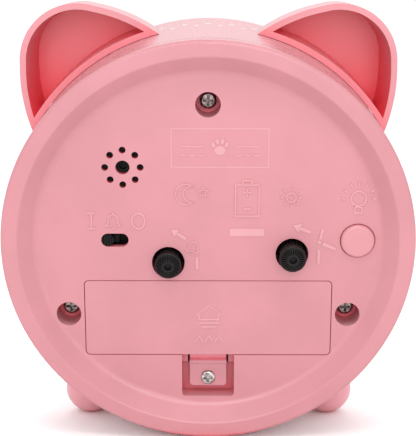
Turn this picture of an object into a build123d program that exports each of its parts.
from build123d import *
import math
import os

# Quartz alarm clock with cat ears: a round drum on two stub feet, open-backed ears,
# a one-cell battery bay, two setting knobs, an alarm switch and a dial-light button.
# Millimetres. The clock is drawn upright on its own axis: X to the right as seen from
# the dial, Y towards the back, Z up; y = 0 is the outer face of the back panel and the
# dial axis is x = z = 0. stand() then leans it back on its feet.

# ---- case ----
CASE_R = 60.0            # drum outside radius
CASE_WALL = 2.2
CASE_FRONT_Y = -45.0     # front edge of the drum tube
DIAL_WALL_Y = CASE_FRONT_Y + 8.0    # back face of the drum's inner front wall
DIAL_WALL_T = 1.5
FIT_GAP = 0.15           # clearance between moulded pieces that slip together
SEAM_GAP = 0.3           # shadow gap round the back cover
EAR_GAP = 0.12           # the ears sit almost tight on the drum

# ---- back cover ----
PANEL_T = 2.0
RIM_H = 4.0              # rim stands this far behind the panel
RIM_W = 4.8              # width of the flat rim
COVE_W = 4.8             # width of the cove inside it
RIM_IN_R = CASE_R - RIM_W
PANEL_R = RIM_IN_R - COVE_W
SPIGOT_T = 2.0
SPIGOT_L = 4.0

# ---- case screws ----
SCREW_TOP = (0.0, 41.1)
SCREW_LOW_X = 41.2
SCREW_LOW_Z = -21.7
WELL_R = 3.65
WELL_WALL = 1.2
WELL_DEPTH = 8.2
SCREW_HEAD_R = 2.45
SCREW_HEAD_H = 1.8
SCREW_SHANK_R = 1.3
SCREW_LENGTH = 12.0
CROSS_SLOT_W = 0.75

# ---- sounder holes ----
SOUND_X = 24.5
SOUND_Z = 22.9
SOUND_RING_R = 5.08
SOUND_HOLE_R = 1.0
SOUND_CENTRE_R = 2.05
SOUND_HOLES = 8
BUZZER_R = 10.0
BUZZER_H = 4.0

# ---- setting knobs ----
TIME_X = -24.5
TIME_Z = -3.1
ALARM_X = 11.6
ALARM_Z = -5.7
KNOB_HOLE_R = 4.8
KNOB_BASE_R = KNOB_HOLE_R - 0.5
KNOB_FACE_R = 3.45
KNOB_L = 11.0
KNOB_DIMPLE_R = 1.4
KNOB_RIBS = 26
KNOB_RIB_T = 0.26
KNOB_RIB_H = 0.8         # depth of the grooves in the knob's face
TIME_KNOB_OUT = 5.9
ALARM_KNOB_OUT = 4.2
SHAFT_R = 1.0

# ---- light button ----
BUTTON_X = -43.5
BUTTON_Z = 1.1
BUTTON_R = 4.95
BUTTON_GAP = 0.2
BUTTON_OUT = 1.1
BUTTON_FLANGE = 1.4
BUTTON_TRAVEL = 0.8
TACT_Y = -12.0           # top of the push switch

# ---- alarm on/off slider ----
SLOT_X = 27.1
SLOT_Z = 1.15
SLOT_L = 8.0
SLOT_W = 4.0
SLIDER_W = 3.4
SLIDER_TRAVEL = 4.2

# ---- battery door and bay ----
DOOR_X = 36.3            # half width
DOOR_TOP = -11.45
DOOR_BOTTOM = -34.5
DOOR_T = 1.6
DOOR_CORNER = 1.2
DOOR_GAP = 0.25          # seam round the door
TAB_X = 22.0
TAB_W = 6.0
TAB_UP = 2.25
TONGUE_HALF = 5.5
TONGUE_Y = -3.0
TONGUE_T = 1.5
TONGUE_END = -45.9
TONGUE_DROP = 3.0        # the tongue's top edge hangs this far below the door plate
RIDGE_H = 0.6            # raised lip along the tongue's top edge
ARM_BACK = 2.3           # the latch arm runs this far behind the tongue's face
ARM_T = 1.0
CATCH_W = 1.7            # corner blocks beside the latch arm
CATCH_Y = -3.6
CATCH_DROP = 3.9
FLOOR_SLOT_DROP = 4.9    # the recess floor is open down to here behind the arm
RECESS_HALF = 7.8
RECESS_END = -48.0
RECESS_Y = -5.8
DOOR_SCREW_Z = -43.0
DOOR_SCREW_HEAD_R = 2.15
DOOR_SCREW_HEAD_H = 1.2
DOOR_SCREW_R = 1.0
BAY_WALL = 1.2
CELL_R = 7.1
CELL_L = 49.2
CELL_NUB_R = 2.75
CELL_NUB_H = 1.2
CELL_GAP = 0.9           # room all round the cell
SPRING_L = 8.0
CONTACT_T = 0.5

# ---- ears ----
EAR_ANGLE = 52.3         # direction of the ear's centre line from +X
EAR_HALF_ANGLE = 25.2    # half the angle the outline spans where it enters the drum
EAR_TIP = CASE_R * 1.34  # outline points: across and out from the dial axis
EAR_SHOULDER = (CASE_R * 0.2333, CASE_R * 1.2217)
EAR_FLANK = (CASE_R * 0.3292, CASE_R * 1.0867)
EAR_WALL = 1.8
EAR_BACK_Y = -20.5
EAR_DEPTH = 21.0
EAR_DRAFT = 3.6          # degrees by which the ear narrows towards the dial side
EAR_SKIRT = EAR_DEPTH * math.tan(math.radians(EAR_DRAFT)) + 0.4
EAR_EDGE_R = 4.0
EAR_PEG_R = 2.0
EAR_PEG_ANGLE = 12.0

# ---- feet and stance ----
LEAN = 9.0               # the clock leans back by this angle
FOOT_X = 38.0
FOOT_Y = -27.0
FOOT_R = 8.2
FOOT_FLAT = 0.5
FOOT_PEG_R = 2.5
RIM_EDGE_R = 1.2         # rounding of the rim's outer corner

# ---- front ----
BEZEL_FRONT_Y = CASE_FRONT_Y - 4.5
BEZEL_OPEN_R = CASE_R - 10.0
LENS_R = BEZEL_OPEN_R + 4.0
LENS_T = 1.4
LENS_BACK_Y = CASE_FRONT_Y - 0.6
DIAL_R = CASE_R - 5.0
DIAL_T = 0.5
DIAL_HOLE_R = 4.0
LAMP_RADIUS = DIAL_R - 8.5   # the dial lamps stand on this radius
LAMP_ANGLES = (35.0, 145.0)
LAMP_R = 1.5

# ---- movement ----
PLATE_T = 1.2
MOVE_X0, MOVE_X1 = -31.5, 24.0
MOVE_Z0, MOVE_Z1 = -14.0, 25.0
MIDDLE_PLATE = (8.9, 9.7)    # depths below the back plate's inner face
FRONT_PLATE = (14.2, 15.0)
PLATE_Y = DIAL_WALL_Y + FRONT_PLATE[1]   # inner face of the movement's back plate
POST_R = 2.3
PIVOT_R = 0.4
PIVOT_GAP = 0.06
TOOTH_FILL = 0.40        # tooth width over pitch on the pitch circle
CENTRE = (0.0, 0.0)
THIRD_ARM = (9.6, 110.0)     # distance and direction of the third wheel's arbor
IDLER_ARM = (9.8, 25.0)
ROTOR_ARM = (5.3, 80.0)      # from the idler's arbor
ROTOR_PINION, IDLER_WHEEL = 8, 40
IDLER_PINION, SECOND_WHEEL = 10, 60
SECOND_PINION, THIRD_WHEEL = 8, 64
THIRD_PINION, MINUTE_WHEEL = 8, 60
CANNON_PINION, MOTION_WHEEL = 15, 45
MOTION_PINION, HOUR_WHEEL = 12, 48
ALARM_PINION, ALARM_WHEEL = 15, 45
SECOND_R = 0.5
MINUTE_TUBE = (0.56, 1.15)   # bore and outside radius of the minute pipe
HOUR_TUBE = (1.22, 1.9)
ALARM_TUBE = (1.98, 2.8)
HAND_T = 0.35
HAND_STEP = 1.0          # spacing of alarm, hour, minute and second hand
DIAL_FACE_Y = DIAL_WALL_Y - DIAL_WALL_T - DIAL_T
HAND_Y = [DIAL_FACE_Y - HAND_STEP * (1 + i) for i in range(4)]   # their back faces


# ---- small helpers ----
def along_y(shape, x=0.0, z=0.0, y=0.0):
    return Pos(x, y, z) * Rot(X=90) * shape


def rod(radius, y_back, y_front, x=0.0, z=0.0):
    return along_y(Cylinder(radius, y_back - y_front), x, z, (y_back + y_front) / 2)


def tube(outer, inner, y_back, y_front, x=0.0, z=0.0):
    return rod(outer, y_back, y_front, x, z) - rod(inner, y_back + 1, y_front - 1, x, z)


def cone(r_back, r_front, y_back, y_front, x=0.0, z=0.0):
    return along_y(Cone(r_front, r_back, y_back - y_front), x, z, (y_back + y_front) / 2)


def block(x0, x1, y0, y1, z0, z1):
    return Pos((x0 + x1) / 2, (y0 + y1) / 2, (z0 + z1) / 2) * Box(x1 - x0, y1 - y0, z1 - z0)


def turned(points):
    return revolve(make_face(Polyline(*points, close=True)), axis=Axis.Y)


def side_profile(points, x_half, x=0.0):
    outline = make_face(Plane.YZ * Polyline(*points, close=True))
    return Pos(x, 0, 0) * extrude(outline, x_half, both=True)


def polar(radius, degrees, origin=(0.0, 0.0)):
    a = math.radians(degrees)
    return (origin[0] + radius * math.cos(a), origin[1] + radius * math.sin(a))


def bearing(start, end):
    return math.degrees(math.atan2(end[1] - start[1], end[0] - start[0]))


def layer(depth):
    return PLATE_Y - depth


def mirrored(shape):
    return mirror(shape, Plane.YZ)


def ground_z(y):
    """Height of the tabletop: a plane under the feet that touches the rim's rounded edge."""
    lean = math.radians(LEAN)
    under_rim = -(CASE_R - RIM_EDGE_R) - RIM_EDGE_R / math.cos(lean)
    return under_rim - (RIM_H - RIM_EDGE_R - y) * math.tan(lean)


def screw(x, z, y_seat, head_r, head_h, shank_r, length):
    head = rod(head_r, y_seat + head_h, y_seat, x, z)
    head = fillet(head.faces().sort_by(Axis.Y)[-1].edges(), head_h * 0.45)
    slot = block(-head_r * 0.62, head_r * 0.62, 0, head_h, -CROSS_SLOT_W / 2, CROSS_SLOT_W / 2)
    cross = slot + Rot(Y=90) * slot
    head -= Pos(x, y_seat + head_h * 0.4, z) * cross
    tip = length * 0.12
    shank = rod(shank_r, y_seat, y_seat - length + tip, x, z)
    point = cone(shank_r, shank_r * 0.4, y_seat - length + tip, y_seat - length, x, z)
    return head + shank + point


# ---- gears ----
def mesh_module(distance, teeth_a, teeth_b):
    return 2.0 * distance / (teeth_a + teeth_b)


def gear(teeth, module, y_back, y_front, at, start=0.0, bore=0.0):
    pitch = 360.0 / teeth
    pitch_r = module * teeth / 2
    small = teeth < 20
    rings = (
        (pitch_r - 1.1 * module, TOOTH_FILL * (0.9 if small else 1.3)),
        (pitch_r + 0.1 * module, TOOTH_FILL * 0.95),
        (pitch_r + 0.75 * module, TOOTH_FILL * 0.35),
    )
    points = []
    for tooth in range(teeth):
        middle = start + tooth * pitch
        for radius, width in rings:
            points.append(polar(radius, middle - width * pitch / 2))
        for radius, width in reversed(rings):
            points.append(polar(radius, middle + width * pitch / 2))
    outline = make_face(Plane.XZ * Polyline(*points, close=True))
    wheel = Pos(at[0], y_back, at[1]) * extrude(outline, y_back - y_front)
    if bore > 0:
        wheel -= rod(bore, y_back + 1, y_front - 1, *at)
    return wheel


def lightened(wheel, at, ring_r, hole_r, y_back, y_front, count=5):
    for i in range(count):
        x, z = polar(ring_r, i * 360.0 / count, at)
        wheel -= rod(hole_r, y_back + 1, y_front - 1, x, z)
    return wheel


def phase(at, other, teeth, past_tooth=0.0):
    """Start angle that seats a gap of this pinion on a tooth of the wheel at the other arbor.

    past_tooth is how far the line of centres lies past that tooth, in tooth pitches."""
    return bearing(at, other) + (0.5 + past_tooth) * 360.0 / teeth


def tooth_towards(at, other):
    return bearing(at, other)


def arbor_points():
    third = polar(*THIRD_ARM)
    idler = polar(*IDLER_ARM)
    rotor = polar(*ROTOR_ARM, idler)
    time = (TIME_X, TIME_Z)
    alarm = (ALARM_X, ALARM_Z)
    motion = (TIME_X / 2, TIME_Z / 2)
    return third, idler, rotor, time, alarm, motion


THIRD, IDLER, ROTOR, TIME, ALARM, MOTION = arbor_points()
MOTION_DISTANCE = math.dist(CENTRE, MOTION)
MOTION_MODULE = mesh_module(MOTION_DISTANCE, CANNON_PINION, MOTION_WHEEL)
HOUR_MODULE = mesh_module(MOTION_DISTANCE, MOTION_PINION, HOUR_WHEEL)
ALARM_MODULE = mesh_module(math.dist(CENTRE, ALARM), ALARM_PINION, ALARM_WHEEL)
ROTOR_MODULE = mesh_module(ROTOR_ARM[0], ROTOR_PINION, IDLER_WHEEL)
SECOND_MODULE = mesh_module(IDLER_ARM[0], IDLER_PINION, SECOND_WHEEL)
THIRD_MODULE = mesh_module(THIRD_ARM[0], SECOND_PINION, THIRD_WHEEL)
MINUTE_MODULE = mesh_module(THIRD_ARM[0], THIRD_PINION, MINUTE_WHEEL)


def pivots(arbor, radius, at, depth_back, depth_front):
    """Arbor with thin pivots that run in the plates at either end."""
    body = rod(radius, layer(depth_back + 0.3), layer(depth_front - 0.3), *at)
    back_end = rod(PIVOT_R, layer(depth_back - 0.8), layer(depth_back + 0.3), *at)
    front_end = rod(PIVOT_R, layer(depth_front - 0.3), layer(depth_front + 0.6), *at)
    return arbor + body + back_end + front_end


def rotor():
    magnet = tube(3.0, 0.6, layer(1.0), layer(3.0), *ROTOR)
    pinion = gear(ROTOR_PINION, ROTOR_MODULE, layer(3.2), layer(4.8), ROTOR, phase(ROTOR, IDLER, ROTOR_PINION))
    hub = rod(1.0, layer(0.8), layer(3.4), *ROTOR)
    return pivots(magnet + pinion + hub, 0.55, ROTOR, 0.0, MIDDLE_PLATE[0])


def idler_wheel():
    start = tooth_towards(IDLER, ROTOR)
    wheel = gear(IDLER_WHEEL, ROTOR_MODULE, layer(3.7), layer(4.3), IDLER, start)
    pinion = gear(IDLER_PINION, SECOND_MODULE, layer(4.3), layer(6.0), IDLER, phase(IDLER, CENTRE, IDLER_PINION))
    return pivots(wheel + pinion, 0.45, IDLER, 0.0, MIDDLE_PLATE[0])


def second_wheel():
    start = tooth_towards(CENTRE, IDLER)
    wheel = gear(SECOND_WHEEL, SECOND_MODULE, layer(4.9), layer(5.5), CENTRE, start)
    wheel = lightened(wheel, CENTRE, 4.8, 1.6, layer(4.9), layer(5.5))
    start = phase(CENTRE, THIRD, SECOND_PINION)
    pinion = gear(SECOND_PINION, THIRD_MODULE, layer(5.5), layer(7.2), CENTRE, start)
    arbor = rod(SECOND_R, layer(1.0), HAND_Y[3] - HAND_T - 0.3)
    pivot = rod(PIVOT_R, layer(-0.8), layer(1.0))
    return wheel + pinion + arbor + pivot


def third_wheel():
    start = tooth_towards(THIRD, CENTRE)
    wheel = gear(THIRD_WHEEL, THIRD_MODULE, layer(6.3), layer(6.9), THIRD, start)
    wheel = lightened(wheel, THIRD, 4.9, 1.6, layer(6.3), layer(6.9))
    start = phase(THIRD, CENTRE, THIRD_PINION)
    pinion = gear(THIRD_PINION, MINUTE_MODULE, layer(6.9), layer(8.6), THIRD, start)
    return pivots(wheel + pinion, 0.7, THIRD, 0.0, MIDDLE_PLATE[0])


def minute_wheel():
    """Driven minute wheel: grips the minute pipe by friction, so the hands can be set."""
    start = tooth_towards(CENTRE, THIRD)
    wheel = gear(MINUTE_WHEEL, MINUTE_MODULE, layer(7.8), layer(8.4), CENTRE, start, MINUTE_TUBE[1] + 0.03)
    return lightened(wheel, CENTRE, 5.0, 1.6, layer(7.8), layer(8.4))


def minute_arbor():
    pipe = tube(MINUTE_TUBE[1], MINUTE_TUBE[0], layer(7.5), HAND_Y[2] - HAND_T)
    start = phase(CENTRE, MOTION, CANNON_PINION)
    pinion = gear(CANNON_PINION, MOTION_MODULE, layer(10.0), layer(11.1), CENTRE, start, MINUTE_TUBE[0])
    collar = tube(1.6, MINUTE_TUBE[0], layer(7.5), layer(7.75))
    return pipe + pinion + collar


def motion_wheel():
    start = tooth_towards(MOTION, CENTRE)
    wheel = gear(MOTION_WHEEL, MOTION_MODULE, layer(10.2), layer(10.9), MOTION, start)
    wheel = lightened(wheel, MOTION, 5.6, 1.8, layer(10.2), layer(10.9))
    start = phase(MOTION, CENTRE, MOTION_PINION)
    pinion = gear(MOTION_PINION, HOUR_MODULE, layer(10.9), layer(12.5), MOTION, start)
    body = rod(1.2, layer(MIDDLE_PLATE[1] + 0.1), layer(FRONT_PLATE[0] - 0.1), *MOTION)
    pivot = rod(PIVOT_R, layer(MIDDLE_PLATE[0] + 0.1), layer(FRONT_PLATE[1] - 0.1), *MOTION)
    return wheel + pinion + body + pivot


def hour_wheel():
    start = tooth_towards(CENTRE, MOTION)
    wheel = gear(HOUR_WHEEL, HOUR_MODULE, layer(11.6), layer(12.2), CENTRE, start, HOUR_TUBE[0])
    wheel = lightened(wheel, CENTRE, 6.0, 1.8, layer(11.6), layer(12.2))
    return wheel + tube(HOUR_TUBE[1], HOUR_TUBE[0], layer(11.6), HAND_Y[1] - HAND_T)


def alarm_wheel():
    start = tooth_towards(CENTRE, ALARM)
    wheel = gear(ALARM_WHEEL, ALARM_MODULE, layer(13.0), layer(13.6), CENTRE, start, ALARM_TUBE[0])
    return wheel + tube(ALARM_TUBE[1], ALARM_TUBE[0], layer(13.0), HAND_Y[0] - HAND_T)


def setting_shaft(at, pinion_gear, depth_front, knob_out):
    body = rod(SHAFT_R, knob_out - 2.5, layer(depth_front), *at)
    collar = rod(1.9, layer(0.2), layer(0.9), *at)
    return body + collar + pinion_gear


def time_shaft():
    past_tooth = (bearing(MOTION, TIME) - tooth_towards(MOTION, CENTRE)) * MOTION_WHEEL / 360.0 % 1.0
    start = phase(TIME, MOTION, CANNON_PINION, past_tooth)
    pinion = gear(CANNON_PINION, MOTION_MODULE, layer(10.0), layer(11.1), TIME, start)
    return setting_shaft(TIME, pinion, 14.8, TIME_KNOB_OUT)


def alarm_shaft():
    start = phase(ALARM, CENTRE, ALARM_PINION)
    pinion = gear(ALARM_PINION, ALARM_MODULE, layer(12.7), layer(13.9), ALARM, start)
    return setting_shaft(ALARM, pinion, 14.8, ALARM_KNOB_OUT)


def setting_knob(at, out):
    """Tapered push-on knob; its ribs run up the side and over the face to a central dimple."""
    foot_y = out - KNOB_L
    body = cone(KNOB_FACE_R - 0.35, KNOB_BASE_R - 0.35, out - KNOB_RIB_H, foot_y)
    body = fillet(body.faces().sort_by(Axis.Y)[-1].edges(), 0.5)
    inner = KNOB_DIMPLE_R + 0.15
    outline = [(inner, out), (KNOB_FACE_R - 0.45, out), (KNOB_FACE_R, out - 0.5), (KNOB_BASE_R, foot_y),
               (KNOB_BASE_R - 0.8, foot_y), (KNOB_FACE_R - 0.9, out - 1.6), (inner, out - 1.6)]
    rib = extrude(make_face(Polyline(*outline, close=True)), KNOB_RIB_T / 2, both=True)
    body += [Rot(Y=i * 360.0 / KNOB_RIBS) * rib for i in range(KNOB_RIBS)]
    body += rod(inner + 0.1, out, out - 1.6)
    body -= cone(KNOB_DIMPLE_R, KNOB_DIMPLE_R * 0.8, out + 0.01, out - 1.6)
    body -= rod(SHAFT_R, out - 2.5, foot_y - 1)
    return Pos(at[0], 0, at[1]) * body


# ---- hands ----
def hand(reach, tail, width, y_back, hub_r, bore, turn):
    """Flat tapered hand pointing up, turned clockwise as seen from the dial."""
    points = [(-width, -tail), (width, -tail), (width, 0), (width * 0.55, reach * 0.8), (0, reach),
              (-width * 0.55, reach * 0.8), (-width, 0)]
    blade = Pos(0, y_back, 0) * extrude(make_face(Plane.XZ * Polyline(*points, close=True)), HAND_T)
    piece = blade + rod(hub_r, y_back, y_back - HAND_T)
    if bore > 0:
        piece -= rod(bore, y_back + 1, y_back - 1)
    return Rot(Y=turn) * piece


def second_hand():
    piece = hand(40.0, 12.0, 0.45, HAND_Y[3], 1.9, SECOND_R, 180.0)
    return piece + tube(1.1, SECOND_R, HAND_Y[3] + 0.35, HAND_Y[3] - HAND_T)


# ---- movement frame ----
def plate_outline(y_back, y_front):
    plate = block(MOVE_X0, MOVE_X1, y_front, y_back, MOVE_Z0, MOVE_Z1)
    return fillet(plate.edges().filter_by(Axis.Y), 4.0)


def post_points():
    inset = POST_R + 1.0
    xs = (MOVE_X0 + inset, MOVE_X1 - inset)
    zs = (MOVE_Z0 + inset, MOVE_Z1 - inset)
    return [(x, z) for x in xs for z in zs]


def pivot_hole(at, radius, y_back, y_front):
    return rod(radius + PIVOT_GAP, y_back, y_front, *at)


def movement_back_plate():
    """Back plate with side walls and the posts that carry the other two plates."""
    y_out = PLATE_Y + PLATE_T
    body = plate_outline(y_out, layer(FRONT_PLATE[0]))
    body -= block(MOVE_X0 + 1.2, MOVE_X1 - 1.2, layer(FRONT_PLATE[0]) - 1, PLATE_Y, MOVE_Z0 + 1.2, MOVE_Z1 - 1.2)
    posts = [rod(POST_R, PLATE_Y + 0.2, layer(FRONT_PLATE[0]), *p) for p in post_points()]
    body += posts
    for x, z in ((-23.5, 8.5), (-8.5, 19.0), (3.0, 20.0), (15.5, 10.0)):
        body += rod(0.9, PLATE_Y + 0.2, layer(1.6), x, z)
    for p in post_points():
        body -= rod(0.85, layer(6.0), layer(FRONT_PLATE[1] + 1), *p)
    for at in (THIRD, IDLER, ROTOR, CENTRE):
        body -= pivot_hole(at, PIVOT_R, PLATE_Y + 1.0, PLATE_Y - 1)
    for at in (TIME, ALARM):
        body -= pivot_hole(at, SHAFT_R, y_out + 1, PLATE_Y - 1)
    return body


def middle_plate_cut(y_back, y_front):
    """The middle plate clears the setting shafts and fits round the posts."""
    cut = [rod(POST_R + 0.1, y_back + 1, y_front - 1, *p) for p in post_points()]
    cut += [rod(SHAFT_R + 0.3, y_back + 1, y_front - 1, *at) for at in (TIME, ALARM)]
    return cut


def movement_middle_plate():
    y_back, y_front = layer(MIDDLE_PLATE[0]), layer(MIDDLE_PLATE[1])
    gap = 1.2 + 0.1
    plate = block(MOVE_X0 + gap, MOVE_X1 - gap, y_front, y_back, MOVE_Z0 + gap, MOVE_Z1 - gap)
    plate = fillet(plate.edges().filter_by(Axis.Y), 1.0)
    for cut in middle_plate_cut(y_back, y_front):
        plate -= cut
    for x, z in post_points():
        out_x = math.copysign(9.0, x)
        out_z = 9.0 if z > 0 else -9.0
        plate -= block(min(x, x + out_x), max(x, x + out_x), y_front - 1, y_back + 1,
                       min(z, z + out_z), max(z, z + out_z))
    for at in (THIRD, IDLER, ROTOR, MOTION):
        plate -= pivot_hole(at, PIVOT_R, y_back + 1, y_front - 1)
    plate -= rod(MINUTE_TUBE[1] + PIVOT_GAP, y_back + 1, y_front - 1)
    ledges = []
    for x in (MOVE_X0 + 1.2 + 2.0, MOVE_X1 - 1.2 - 2.0):
        ledges.append(rod(1.4, y_front + 0.01, layer(FRONT_PLATE[0]), x, (MOVE_Z0 + MOVE_Z1) / 2 + 3))
    return plate + ledges


def movement_front_plate():
    y_back, y_front = layer(FRONT_PLATE[0]), layer(FRONT_PLATE[1])
    plate = plate_outline(y_back, y_front)
    plate -= rod(ALARM_TUBE[1] + PIVOT_GAP, y_back + 1, y_front - 1)
    plate -= pivot_hole(MOTION, PIVOT_R, y_back + 1, y_front - 1)
    for at in (TIME, ALARM):
        plate -= pivot_hole(at, SHAFT_R, y_back + 1, y_front - 1)
    for p in post_points():
        plate -= rod(1.0, y_back + 1, y_front - 1, *p)
    return plate


def movement_screws():
    """Long screws that pass the dial wall and the front plate into the four posts."""
    seat = DIAL_WALL_Y - DIAL_WALL_T + 0.9
    pieces = []
    for x, z in post_points():
        one = screw(0, 0, 0, 1.7, 0.7, 0.85, 8.0)
        pieces.append(Pos(x, seat, z) * Rot(X=180) * one)
    return pieces


def stator():
    """Stamped U-shaped stator with the rotor's hole and the coil core across its ends."""
    y0, y1 = layer(2.4), layer(1.6)
    x0, x1 = ROTOR[0] - 9.0, ROTOR[0] + 8.0
    z0, z1 = ROTOR[1] - 4.6, ROTOR[1] + 11.8
    plate = fillet(block(x0, x1, y0, y1, z0, z1).edges().filter_by(Axis.Y), 2.0)
    plate -= rod(3.6, y1 + 1, y0 - 1, *ROTOR)
    plate -= block(x0 + 4.0, x1 - 4.0, y0 - 1, y1 + 1, ROTOR[1] + 5.2, z1 + 1)
    plate -= block(x0 - 1, x0 + 4.2, y0 - 1, y1 + 1, z0 - 1, ROTOR[1] - 1.0)
    core_z = z1 - 2.2
    core = block(x0 + 0.4, x1 - 0.4, y0 - 0.8, y0, core_z - 1.4, core_z + 1.4)
    return plate + core


def coil_axis():
    return (ROTOR[0] - 0.5, layer(2.8), ROTOR[1] + 9.6)


def coil():
    x, y, z = coil_axis()
    winding = Rot(Y=90) * Cylinder(2.0, 7.6)
    core_slot = Box(12, 0.9, 2.9)
    flanges = [Pos(s * 4.1, 0, 0) * Rot(Y=90) * Cylinder(2.35, 0.6) for s in (-1, 1)]
    return Pos(x, y, z) * (winding + flanges - core_slot)


def circuit_board():
    return block(-25.0, -7.0, layer(2.6), layer(1.6), 7.0, 20.5)


def board_parts():
    """Clock chip under its resin blob, and the crystal can, on the circuit board."""
    top = layer(2.6)
    blob = Pos(-20.0, top, 14.0) * Rot(X=90) * scale(Sphere(3.0), (1, 1, 0.4))
    blob -= block(-40, 0, top, top + 3, 0, 30)
    can = Pos(-11.0, top - 0.9, 14.0) * Cylinder(0.9, 5.6)
    return [blob, can]


def alarm_contact():
    """Brass leaf the alarm wheel presses to close the sounder circuit."""
    y = layer(12.5)
    leaf = block(2.0, 12.0, y - 0.2, y, 8.5, 10.5)
    foot = block(11.8, 12.0, y - 0.2, layer(MIDDLE_PLATE[1]), 8.5, 10.5)
    pad = block(11.8, 14.5, layer(MIDDLE_PLATE[1]) - 0.2, layer(MIDDLE_PLATE[1]), 8.5, 10.5)
    return leaf + foot + pad


# ---- case pieces ----
def case_screw_points():
    return [SCREW_TOP, (-SCREW_LOW_X, SCREW_LOW_Z), (SCREW_LOW_X, SCREW_LOW_Z)]


def peg_points():
    """Radial pegs of the ears: direction in degrees from +X for the right-hand ear."""
    return [EAR_ANGLE - EAR_PEG_ANGLE, EAR_ANGLE + EAR_PEG_ANGLE]


def radial_peg(radius, r_in, r_out, degrees, y):
    peg = Pos((r_in + r_out) / 2, 0, 0) * Rot(Y=90) * Cylinder(radius, r_out - r_in)
    return Pos(0, y, 0) * Rot(Y=-degrees) * peg


def foot_centre():
    reach = (FOOT_R - FOOT_FLAT) / math.cos(math.radians(LEAN))
    return (FOOT_X, FOOT_Y, ground_z(FOOT_Y) + reach)


def foot_angle():
    x, y, z = foot_centre()
    return math.degrees(math.atan2(z, x))


def case_drum():
    """Moulded drum: outer tube, inner front wall that carries the dial, screw bosses."""
    inner = CASE_R - CASE_WALL
    drum = tube(CASE_R, inner, -SEAM_GAP, CASE_FRONT_Y)
    drum += rod(inner + 0.5, DIAL_WALL_Y, DIAL_WALL_Y - DIAL_WALL_T)
    drum -= rod(ALARM_TUBE[1] + 1.2, 0, CASE_FRONT_Y)
    boss_y = -WELL_DEPTH - WELL_WALL
    for x, z in case_screw_points():
        drum += rod(3.4, boss_y, DIAL_WALL_Y - 0.5, x, z)
        rib = Rot(Y=-bearing(CENTRE, (x, z))) * block(math.hypot(x, z), inner + 0.5, DIAL_WALL_Y, -14.0, -0.7, 0.7)
        drum += rib - rod(3.0, 0, CASE_FRONT_Y, x, z)
        drum -= rod(SCREW_SHANK_R, boss_y + 1, boss_y - SCREW_LENGTH, x, z)
    for x, z in post_points():
        drum -= rod(1.0, DIAL_WALL_Y + 1, DIAL_WALL_Y - DIAL_WALL_T - 1, x, z)
        drum -= rod(1.9, DIAL_WALL_Y - DIAL_WALL_T + 0.9, DIAL_WALL_Y - DIAL_WALL_T - 1, x, z)
    for angle in LAMP_ANGLES:
        drum -= rod(LAMP_R + 0.1, DIAL_WALL_Y + 1, CASE_FRONT_Y, *polar(LAMP_RADIUS, angle))
    ear_y = EAR_BACK_Y - EAR_DEPTH / 2
    for angle in peg_points():
        for side in (angle, 180.0 - angle):
            drum -= radial_peg(EAR_PEG_R + FIT_GAP, inner - 2, CASE_R + 2, side, ear_y)
    for side in (foot_angle(), 180.0 - foot_angle()):
        drum -= radial_peg(FOOT_PEG_R + FIT_GAP, inner - 2, CASE_R + 2, side, FOOT_Y)
    return drum


def door_opening(gap):
    cut = block(-DOOR_X - gap, DOOR_X + gap, -DOOR_T - FIT_GAP, 1, DOOR_BOTTOM - gap, DOOR_TOP + gap)
    return fillet(cut.edges().filter_by(Axis.Y), DOOR_CORNER + gap)


def cell_centre():
    return ((DOOR_TOP + DOOR_BOTTOM) / 2, -DOOR_T - PANEL_T / 2 - CELL_R)


def bay_limits():
    z, y = cell_centre()
    half_x = (CELL_L + CELL_NUB_H + SPRING_L) / 2 + CONTACT_T
    half_z = CELL_R + CELL_GAP
    return half_x, z - half_z, z + half_z, y - CELL_R - CELL_GAP


def cover_shell():
    outer = CASE_R - CASE_WALL - FIT_GAP
    inner = outer - SPIGOT_T
    lip = RIM_H - PANEL_T
    points = [(0, 0), (PANEL_R, 0), (RIM_IN_R, RIM_H), (CASE_R, RIM_H), (CASE_R, 0), (outer, 0),
              (outer, -SPIGOT_L), (inner, -SPIGOT_L), (inner, lip), (RIM_IN_R - 0.9, lip),
              (PANEL_R - 0.6, -PANEL_T), (0, -PANEL_T)]
    section = make_face(Polyline(*points, close=True))
    corner = section.vertices()
    cove = [v for v in corner if abs(v.X - PANEL_R) < 0.01]
    section = fillet(cove, 3.0)
    lip_in = [v for v in section.vertices() if abs(v.X - RIM_IN_R) < 0.01 and v.Y > 3.9]
    section = fillet(lip_in, 1.0)
    lip_out = [v for v in section.vertices() if abs(v.X - CASE_R) < 0.01 and v.Y > 3.9]
    section = fillet(lip_out, RIM_EDGE_R)
    return revolve(section, axis=Axis.Y)


def battery_bay():
    half_x, z0, z1, y0 = bay_limits()
    w = BAY_WALL
    ledge_y = -DOOR_T - FIT_GAP
    ledge = block(-DOOR_X - w, DOOR_X + w, ledge_y - w, -PANEL_T / 2, DOOR_BOTTOM - w, DOOR_TOP + w)
    walls = block(-half_x - w, half_x + w, y0 - w, ledge_y, z0 - w, z1 + w)
    return ledge + walls


def battery_hollow():
    half_x, z0, z1, y0 = bay_limits()
    hollow = block(-half_x, half_x, y0, 1, z0, z1)
    for side in (-1, 1):
        x = side * TAB_X
        half = TAB_W / 2 + 0.4
        hollow += block(x - half, x + half, -5.2, -PANEL_T, z1 - 1, DOOR_TOP + TAB_UP + 0.6)
        hollow += block(x - half, x + half, -5.2, -DOOR_T, z1 - 1, DOOR_TOP)
    return hollow


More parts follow.
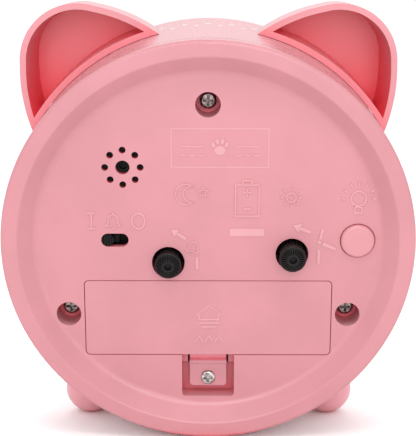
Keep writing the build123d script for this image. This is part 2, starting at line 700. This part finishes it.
def rear_cover():
    """Dished back cover with the battery bay, screw wells and guides moulded in."""
    cover = cover_shell()
    cover += battery_bay()
    w = WELL_WALL
    cover += block(-RECESS_HALF - w, RECESS_HALF + w, RECESS_Y - w, -0.5, RECESS_END - w, DOOR_BOTTOM - w)
    cover += rod(2.9, RECESS_Y - w, RECESS_Y - 6.0, 0, DOOR_SCREW_Z)
    for x, z in case_screw_points():
        cover += rod(WELL_R + w, -0.5, -WELL_DEPTH - w, x, z)
    cover += tube(BUZZER_R + 1.2 + FIT_GAP, BUZZER_R + FIT_GAP, -0.5, -PANEL_T - 5.0, SOUND_X, SOUND_Z)
    cover += tube(KNOB_HOLE_R + 1.2, KNOB_HOLE_R, -0.5, -7.0, *TIME)
    cover += tube(KNOB_HOLE_R + 1.2, KNOB_HOLE_R, -0.5, -7.0, *ALARM)
    guide_r = BUTTON_R + BUTTON_FLANGE + 0.3
    cover += tube(guide_r + 1.2, guide_r, -0.5, -7.0, BUTTON_X, BUTTON_Z)
    for s in (-1, 1):
        cover += rod(1.5, -0.5, TACT_Y - 2.4, BUTTON_X, BUTTON_Z + s * 10.0)
        cover += block(SLOT_X + s * 10.0 - 1, SLOT_X + s * 10.0 + 1, -8.0, -0.5, SLOT_Z - 3, SLOT_Z + 3)
    cover -= battery_hollow()
    cover -= door_opening(DOOR_GAP)
    recess = block(-RECESS_HALF, RECESS_HALF, RECESS_Y, 1, RECESS_END, DOOR_BOTTOM + 0.5)
    cover -= fillet(recess.edges().filter_by(Axis.Y).sort_by(Axis.Z)[:2], 1.0)
    cover -= block(-RECESS_HALF, RECESS_HALF, RECESS_Y - w - 1, RECESS_Y + 1,
                   DOOR_BOTTOM - FLOOR_SLOT_DROP, DOOR_BOTTOM - w)
    for s in (-1, 1):
        x = sorted((s * (RECESS_HALF + 0.2), s * (RECESS_HALF - CATCH_W)))
        cover += block(*x, RECESS_Y - w, CATCH_Y, DOOR_BOTTOM - CATCH_DROP, DOOR_BOTTOM - FIT_GAP)
    cover -= block(-TONGUE_HALF - 0.4, TONGUE_HALF + 0.4, RECESS_Y, 0, DOOR_BOTTOM, DOOR_BOTTOM + 2.4)
    bore = rod(DOOR_SCREW_R + 0.2, RECESS_Y + 1, RECESS_Y - 4.6, 0, DOOR_SCREW_Z)
    cover -= bore + Pos(0, 0, -0.9) * bore
    cover -= block(-DOOR_SCREW_R - 0.2, DOOR_SCREW_R + 0.2, RECESS_Y - 4.6, RECESS_Y + 1,
                   DOOR_SCREW_Z - 0.9, DOOR_SCREW_Z)
    for x, z in case_screw_points():
        cover -= rod(WELL_R, 1, -WELL_DEPTH, x, z)
        cover -= rod(SCREW_SHANK_R + 0.3, 0, -WELL_DEPTH - w - 1, x, z)
    cover -= rod(SOUND_CENTRE_R, 1, -PANEL_T - 1, SOUND_X, SOUND_Z)
    for i in range(SOUND_HOLES):
        x, z = polar(SOUND_RING_R, i * 360.0 / SOUND_HOLES, (SOUND_X, SOUND_Z))
        cover -= rod(SOUND_HOLE_R, 1, -PANEL_T - 1, x, z)
    for at in (TIME, ALARM):
        cover -= rod(KNOB_HOLE_R, 1, -8.0, *at)
    cover -= rod(BUTTON_R + BUTTON_GAP, 1, -PANEL_T - 1, BUTTON_X, BUTTON_Z)
    slot = block(SLOT_X - SLOT_L / 2, SLOT_X + SLOT_L / 2, -PANEL_T - 1, 1, SLOT_Z - SLOT_W / 2, SLOT_Z + SLOT_W / 2)
    cover -= fillet(slot.edges().filter_by(Axis.Y), SLOT_W / 2 - 0.01)
    return cover


def case_screws():
    return [screw(x, z, -WELL_DEPTH, SCREW_HEAD_R, SCREW_HEAD_H, SCREW_SHANK_R, SCREW_LENGTH)
            for x, z in case_screw_points()]


def front_bezel():
    inner = CASE_R - CASE_WALL - FIT_GAP
    points = [(BEZEL_OPEN_R, BEZEL_FRONT_Y), (CASE_R, BEZEL_FRONT_Y), (CASE_R, CASE_FRONT_Y),
              (inner, CASE_FRONT_Y), (inner, CASE_FRONT_Y + 3.0), (inner - 1.8, CASE_FRONT_Y + 3.0),
              (inner - 1.8, LENS_BACK_Y), (LENS_R + FIT_GAP, LENS_BACK_Y), (LENS_R + FIT_GAP, LENS_BACK_Y - LENS_T),
              (BEZEL_OPEN_R, LENS_BACK_Y - LENS_T)]
    section = make_face(Polyline(*points, close=True))
    front_out = [v for v in section.vertices() if v.X > CASE_R - 0.01 and v.Y < BEZEL_FRONT_Y + 0.01]
    section = fillet(front_out, 3.2)
    front_in = [v for v in section.vertices() if v.X < BEZEL_OPEN_R + 0.01 and v.Y < BEZEL_FRONT_Y + 0.01]
    section = fillet(front_in, 1.0)
    return revolve(section, axis=Axis.Y)


def lens():
    return rod(LENS_R, LENS_BACK_Y, LENS_BACK_Y - LENS_T)


def dial():
    y = DIAL_WALL_Y - DIAL_WALL_T
    disc = rod(DIAL_R, y, y - DIAL_T) - rod(DIAL_HOLE_R, y + 1, y - 1)
    for angle in LAMP_ANGLES:
        disc -= rod(LAMP_R + 0.1, y + 1, y - 1, *polar(LAMP_RADIUS, angle))
    return disc


def dial_ring():
    """Sloping ring between dial and lens; it clamps the dial and holds the lens up."""
    y0 = DIAL_FACE_Y
    r = DIAL_R
    return turned([(r, y0), (r, LENS_BACK_Y), (r - 3.6, LENS_BACK_Y), (r - 2.2, y0)])


# ---- ears and feet ----
def ear_outline(base_r):
    half = math.radians(EAR_HALF_ANGLE)
    corner = (base_r * math.sin(half), base_r * math.cos(half))
    sx, sz = EAR_SHOULDER
    fx, fz = EAR_FLANK
    edges = [
        ThreePointArc((-corner[0], corner[1]), (0, base_r), corner),
        ThreePointArc(corner, (fx, fz), (sx, sz)),
        ThreePointArc((sx, sz), (0, EAR_TIP), (-sx, sz)),
        ThreePointArc((-sx, sz), (-fx, fz), (-corner[0], corner[1])),
    ]
    return make_face(Plane.XZ * Wire(edges))


def ear():
    """Hollow ear, open to the back and narrowing forwards, seated on the drum by two round pegs."""
    outline = ear_outline(CASE_R - EAR_SKIRT)
    front_y = EAR_BACK_Y - EAR_DEPTH
    seat_r = CASE_R + EAR_GAP
    solid = Pos(0, EAR_BACK_Y, 0) * extrude(outline, EAR_DEPTH, taper=EAR_DRAFT)
    solid -= rod(seat_r, EAR_BACK_Y + 1, front_y - 1)
    front = solid.faces().sort_by(Axis.Y)[0]
    rounded = [e for e in front.edges() if e.center().Z > CASE_R + 2]
    solid = fillet(rounded, EAR_EDGE_R)
    hollow = offset(outline, -EAR_WALL, kind=Kind.INTERSECTION)
    inside = Pos(0, EAR_BACK_Y, 0) * extrude(hollow, EAR_DEPTH - EAR_WALL, taper=EAR_DRAFT)
    solid -= inside - rod(seat_r + EAR_WALL, EAR_BACK_Y + 1, front_y - 1)
    solid = Rot(Y=90.0 - EAR_ANGLE) * solid
    y = EAR_BACK_Y - EAR_DEPTH / 2
    for angle in peg_points():
        solid += radial_peg(EAR_PEG_R, CASE_R - CASE_WALL - 1.0, CASE_R + 1.0, angle, y)
        solid += radial_peg(EAR_PEG_R + 1.5, CASE_R - 0.2, CASE_R + 1.0, angle, y) - rod(CASE_R, 0, CASE_FRONT_Y)
    return solid


def foot():
    """Stub foot: a ball on a short leg, hollowed to the drum and flat where it stands."""
    x, y, z = foot_centre()
    reach = math.hypot(x, z)
    leg = radial_peg(FOOT_R, CASE_R - 8.0, reach, foot_angle(), y)
    body = Pos(x, y, z) * Sphere(FOOT_R) + leg
    body -= rod(CASE_R, 20, CASE_FRONT_Y - 20)
    floor = Pos(0, FOOT_Y, ground_z(FOOT_Y)) * Rot(X=LEAN) * Pos(0, 0, -10) * Box(200, 60, 20)
    body -= floor
    body += radial_peg(FOOT_PEG_R, CASE_R - CASE_WALL - 0.6, CASE_R + 2.0, foot_angle(), y)
    return body - radial_peg(0.9, CASE_R - CASE_WALL - 1.0, CASE_R + 5.0, foot_angle(), y)


def foot_screws():
    """Screws driven from inside the drum into each foot's peg."""
    seat = CASE_R - CASE_WALL - 0.6
    one = screw(0, 0, 0, 3.4, 1.0, 0.9, 5.0)
    pieces = []
    for side in (foot_angle(), 180.0 - foot_angle()):
        pieces.append(Pos(0, FOOT_Y, 0) * Rot(Y=-side) * Pos(seat, 0, 0) * Rot(Z=90) * one)
    return pieces


# ---- battery bay contents ----
def battery_door():
    """Door plate with two top tabs that hook behind the panel and a screwed latch tongue."""
    door = block(-DOOR_X, DOOR_X, -DOOR_T, 0, DOOR_BOTTOM, DOOR_TOP)
    door = fillet(door.edges().filter_by(Axis.Y), DOOR_CORNER)
    for side in (-1, 1):
        hook = [(-DOOR_T + 0.2, DOOR_TOP - 2.2), (-DOOR_T + 0.2, DOOR_TOP - 0.1), (-PANEL_T - FIT_GAP, DOOR_TOP - 0.1),
                (-PANEL_T - FIT_GAP, DOOR_TOP + TAB_UP), (-3.4, DOOR_TOP + TAB_UP), (-3.4, DOOR_TOP - 2.2)]
        door += side_profile(hook, TAB_W / 2, side * TAB_X)
    y, back = TONGUE_Y, TONGUE_Y - ARM_BACK
    inner, root = -DOOR_T + 0.3, DOOR_BOTTOM + 2.0
    top = DOOR_BOTTOM - TONGUE_DROP
    latch = [(inner, root), (inner, root - 1.1), (back + ARM_T, root - 1.5), (back + ARM_T, top + 0.2),
             (y + RIDGE_H, top), (y + RIDGE_H, top - 0.9), (y, top - 1.3), (y, TONGUE_END),
             (y - TONGUE_T, TONGUE_END), (y - TONGUE_T, top - 1.2), (back, top - 0.8), (back, root - 0.4)]
    lip = side_profile(latch, TONGUE_HALF)
    lip = fillet(lip.edges().filter_by(Axis.Y).sort_by(Axis.Z)[:2], 1.2)
    door += lip
    return door - rod(DOOR_SCREW_R + 0.05, 1, -10, 0, DOOR_SCREW_Z)


def door_screw():
    return screw(0, DOOR_SCREW_Z, TONGUE_Y, DOOR_SCREW_HEAD_R, DOOR_SCREW_HEAD_H, DOOR_SCREW_R, 6.0)


def cell_start():
    half_x = bay_limits()[0]
    return half_x - CONTACT_T - CELL_NUB_H - CELL_L


def battery():
    """AA cell lying across the bay, its positive cap towards +X."""
    z, y = cell_centre()
    can = fillet(Cylinder(CELL_R, CELL_L).edges(), 0.6)
    cap = Pos(0, 0, CELL_L / 2 + CELL_NUB_H / 2) * Cylinder(CELL_NUB_R, CELL_NUB_H)
    cell = Rot(Y=90) * (can + cap)
    return Pos(cell_start() + CELL_L / 2, y, z) * cell


def battery_plus_contact():
    z, y = cell_centre()
    x = bay_limits()[0]
    plate = block(x - CONTACT_T, x, y - 5.0, y + 5.0, z - 6.0, z + 6.0)
    tail = block(x - CONTACT_T, x + 5.0, y - 5.5, y - 5.0, z - 1.5, z + 1.5)
    return plate + tail


def battery_spring():
    """Conical contact spring and its plate at the cell's negative end."""
    z, y = cell_centre()
    x = -bay_limits()[0]
    plate = block(x, x + CONTACT_T, y - 5.0, y + 5.0, z - 6.0, z + 6.0)
    tail = block(x - 5.0, x + CONTACT_T, y - 5.5, y - 5.0, z - 1.5, z + 1.5)
    length = cell_start() - (x + CONTACT_T)
    wire = 0.4
    run = length - 2 * wire
    path = Helix(pitch=run / 4, height=run, radius=4.6, cone_angle=-10)
    start = path @ 0
    section = Plane(origin=start, z_dir=path % 0) * Circle(wire)
    coil_body = sweep(section, path=path, is_frenet=True)
    return plate + tail + Pos(x + CONTACT_T + wire * 0.9, y, z) * Rot(Y=90) * coil_body


def contact_slots():
    """Slots in the bay's end walls for the contact tails."""
    z, y = cell_centre()
    x = bay_limits()[0]
    one = block(x - 1, x + 4, y - 5.6, y - 4.9, z - 1.6, z + 1.6)
    return one + mirrored(one)


# ---- sounder, switch and light ----
def buzzer():
    y = -PANEL_T - 0.6
    body = rod(BUZZER_R, y, y - BUZZER_H, SOUND_X, SOUND_Z)
    body -= rod(1.2, y + 1, y - 1.5, SOUND_X, SOUND_Z)
    return fillet(body.faces().sort_by(Axis.Y)[0].edges(), 0.8)


def buzzer_clip():
    """Ring that holds the sounder down in its guide."""
    y = -PANEL_T - 0.6 - BUZZER_H
    return tube(BUZZER_R + FIT_GAP, BUZZER_R - 2.5, y, y - 0.5, SOUND_X, SOUND_Z)


def switch_body():
    """Slide-switch case behind the slot, open towards the back for the slider."""
    x, z = SLOT_X, SLOT_Z
    body = block(x - 9.0, x + 9.0, -8.0, -PANEL_T, z - 2.8, z + 2.8)
    track = SLIDER_TRAVEL / 2 + SLIDER_W / 2 + 0.15
    body -= block(x - track - 1.5, x + track + 1.5, -6.0, -PANEL_T + 1, z - 1.95, z + 1.95)
    pins = [block(x + dx - 0.3, x + dx + 0.3, -11.0, -7.9, z - 0.4, z + 0.4) for dx in (-4, 0, 4)]
    return body + pins


def switch_slider():
    """Slider at its alarm-on end, with three grip ridges."""
    x, z = SLOT_X + SLIDER_TRAVEL / 2, SLOT_Z
    half = SLIDER_W / 2
    knob = block(x - half, x + half, -5.8, 0.1, z - 1.75, z + 1.75)
    knob = fillet(knob.edges().filter_by(Axis.Y), half - 0.05)
    shoe = block(x - half - 1.4, x + half + 1.4, -5.8, -3.6, z - 1.75, z + 1.75)
    for dx in (-1.15, -0.4, 0.4, 1.15):
        knob -= block(x + dx - 0.17, x + dx + 0.17, -0.5, 1, z - 2, z + 2)
    return knob + shoe


def light_button():
    """Domed push button with a flange that stops against the panel's inner face."""
    x, z = BUTTON_X, BUTTON_Z
    top = rod(BUTTON_R, BUTTON_OUT, -PANEL_T - 0.05)
    top = fillet(top.faces().sort_by(Axis.Y)[-1].edges(), 0.9)
    flange = rod(BUTTON_R + BUTTON_FLANGE, -PANEL_T - 0.05, -PANEL_T - 1.3)
    skirt = tube(BUTTON_R, BUTTON_R - 1.2, -PANEL_T - 1.2, -5.5)
    stem = rod(1.5, -PANEL_T - 1.2, TACT_Y + 0.6)
    return Pos(x, 0, z) * (top + flange + skirt + stem)


def tact_switch():
    x, z = BUTTON_X, BUTTON_Z
    body = block(x - 3.0, x + 3.0, TACT_Y - 2.4, TACT_Y - 0.0 - 1.0, z - 3.0, z + 3.0)
    body -= rod(1.6, TACT_Y, TACT_Y - 2.2, x, z)
    return body


def tact_plunger():
    """Push-switch plunger; it rides with the button."""
    return rod(1.5, TACT_Y + 0.6, TACT_Y - 1.3, BUTTON_X, BUTTON_Z)


def light_board():
    x, z = BUTTON_X, BUTTON_Z
    y = TACT_Y - 2.4
    board = block(x - 4.5, x + 5.5, y - 1.2, y, z - 13.0, z + 13.0)
    for s in (-1, 1):
        board -= rod(0.9, y + 1, y - 3, x, z + s * 10.0)
    return board


def light_board_screws():
    y = TACT_Y - 2.4 - 1.2
    pieces = []
    for s in (-1, 1):
        one = screw(0, 0, 0, 1.6, 0.9, 0.75, 5.0)
        pieces.append(Pos(BUTTON_X, y, BUTTON_Z + s * 10.0) * Rot(X=180) * one)
    return pieces


def dial_lamps():
    """Two small lamps that stand through the dial wall beside the dial's edge."""
    pieces = []
    for angle in LAMP_ANGLES:
        x, z = polar(LAMP_RADIUS, angle)
        bulb = rod(LAMP_R, DIAL_WALL_Y + 0.5, DIAL_FACE_Y - 2.0, x, z)
        bulb = fillet(bulb.faces().sort_by(Axis.Y)[0].edges(), 1.2)
        base = rod(2.4, DIAL_WALL_Y + 2.5, DIAL_WALL_Y, x, z)
        pieces.append(bulb + base)
    return pieces


OUTER_PIECES = ("rear_cover", "front_bezel", "ear_left", "ear_right", "foot_left", "foot_right", "time_knob")


def build_all():
    cover = rear_cover()
    cover -= contact_slots()
    for x, z in [(BUTTON_X, BUTTON_Z + s * 10.0) for s in (-1, 1)]:
        cover -= rod(0.75, -PANEL_T - 1, TACT_Y - 4, x, z)
    right_ear = ear()
    right_foot = foot()
    return {
        "case_drum": case_drum(),
        "rear_cover": cover,
        "case_screws": case_screws(),
        "front_bezel": front_bezel(),
        "lens": lens(),
        "dial": dial(),
        "dial_ring": dial_ring(),
        "ear_right": right_ear,
        "ear_left": mirrored(right_ear),
        "foot_right": right_foot,
        "foot_left": mirrored(right_foot),
        "foot_screws": foot_screws(),
        "battery_door": battery_door(),
        "battery_door_screw": door_screw(),
        "battery": battery(),
        "battery_spring": battery_spring(),
        "battery_plus_contact": battery_plus_contact(),
        "buzzer": buzzer(),
        "buzzer_clip": buzzer_clip(),
        "alarm_switch_body": switch_body(),
        "alarm_switch_slider": switch_slider(),
        "light_button": light_button(),
        "light_switch_plunger": tact_plunger(),
        "light_switch": tact_switch(),
        "light_board": light_board(),
        "light_board_screws": light_board_screws(),
        "dial_lamps": dial_lamps(),
        "time_knob": setting_knob(TIME, TIME_KNOB_OUT),
        "alarm_knob": setting_knob(ALARM, ALARM_KNOB_OUT),
        "time_setting_shaft": time_shaft(),
        "alarm_setting_shaft": alarm_shaft(),
        "movement_back_plate": movement_back_plate(),
        "movement_middle_plate": movement_middle_plate(),
        "movement_front_plate": movement_front_plate(),
        "movement_screws": movement_screws(),
        "motor_stator": stator(),
        "motor_coil": coil(),
        "motor_rotor": rotor(),
        "idler_wheel": idler_wheel(),
        "second_wheel": second_wheel(),
        "third_wheel": third_wheel(),
        "minute_wheel": minute_wheel(),
        "minute_arbor": minute_arbor(),
        "motion_wheel": motion_wheel(),
        "hour_wheel": hour_wheel(),
        "alarm_wheel": alarm_wheel(),
        "alarm_contact": alarm_contact(),
        "circuit_board": circuit_board(),
        "circuit_board_parts": board_parts(),
        "alarm_hand": hand(26.0, 7.0, 0.7, HAND_Y[0], 4.0, ALARM_TUBE[1], 240.0),
        "hour_hand": hand(30.0, 6.0, 1.7, HAND_Y[1], 3.4, HOUR_TUBE[1], 305.0),
        "minute_hand": hand(42.0, 8.0, 1.3, HAND_Y[2], 2.8, MINUTE_TUBE[1], 60.0),
        "second_hand": second_hand(),
    }


def as_compound(piece):
    solids = []
    for item in piece if isinstance(piece, list) else [piece]:
        solids.extend(item.solids())
    return Compound(solids) if len(solids) > 1 else solids[0]


def outer_box(pieces):
    """Box round the pieces that bound the clock."""
    boxes = [pieces[name].bounding_box() for name in OUTER_PIECES]
    low = [min(getattr(b.min, axis) for b in boxes) for axis in "XYZ"]
    high = [max(getattr(b.max, axis) for b in boxes) for axis in "XYZ"]
    return low, high


def stand(pieces):
    """Lean the clock back on its feet and set it on z = 0, centred under its box."""
    leaning = {name: Rot(X=-LEAN) * as_compound(piece) for name, piece in pieces.items()}
    low, high = outer_box(leaning)
    shift = Pos(-(low[0] + high[0]) / 2, -(low[1] + high[1]) / 2, -low[2])
    return {name: shift * piece for name, piece in leaning.items()}


if __name__ == "__main__":
    os.makedirs("parts", exist_ok=True)
    for name, piece in stand(build_all()).items():
        export_step(piece, f"parts/{name}.step")
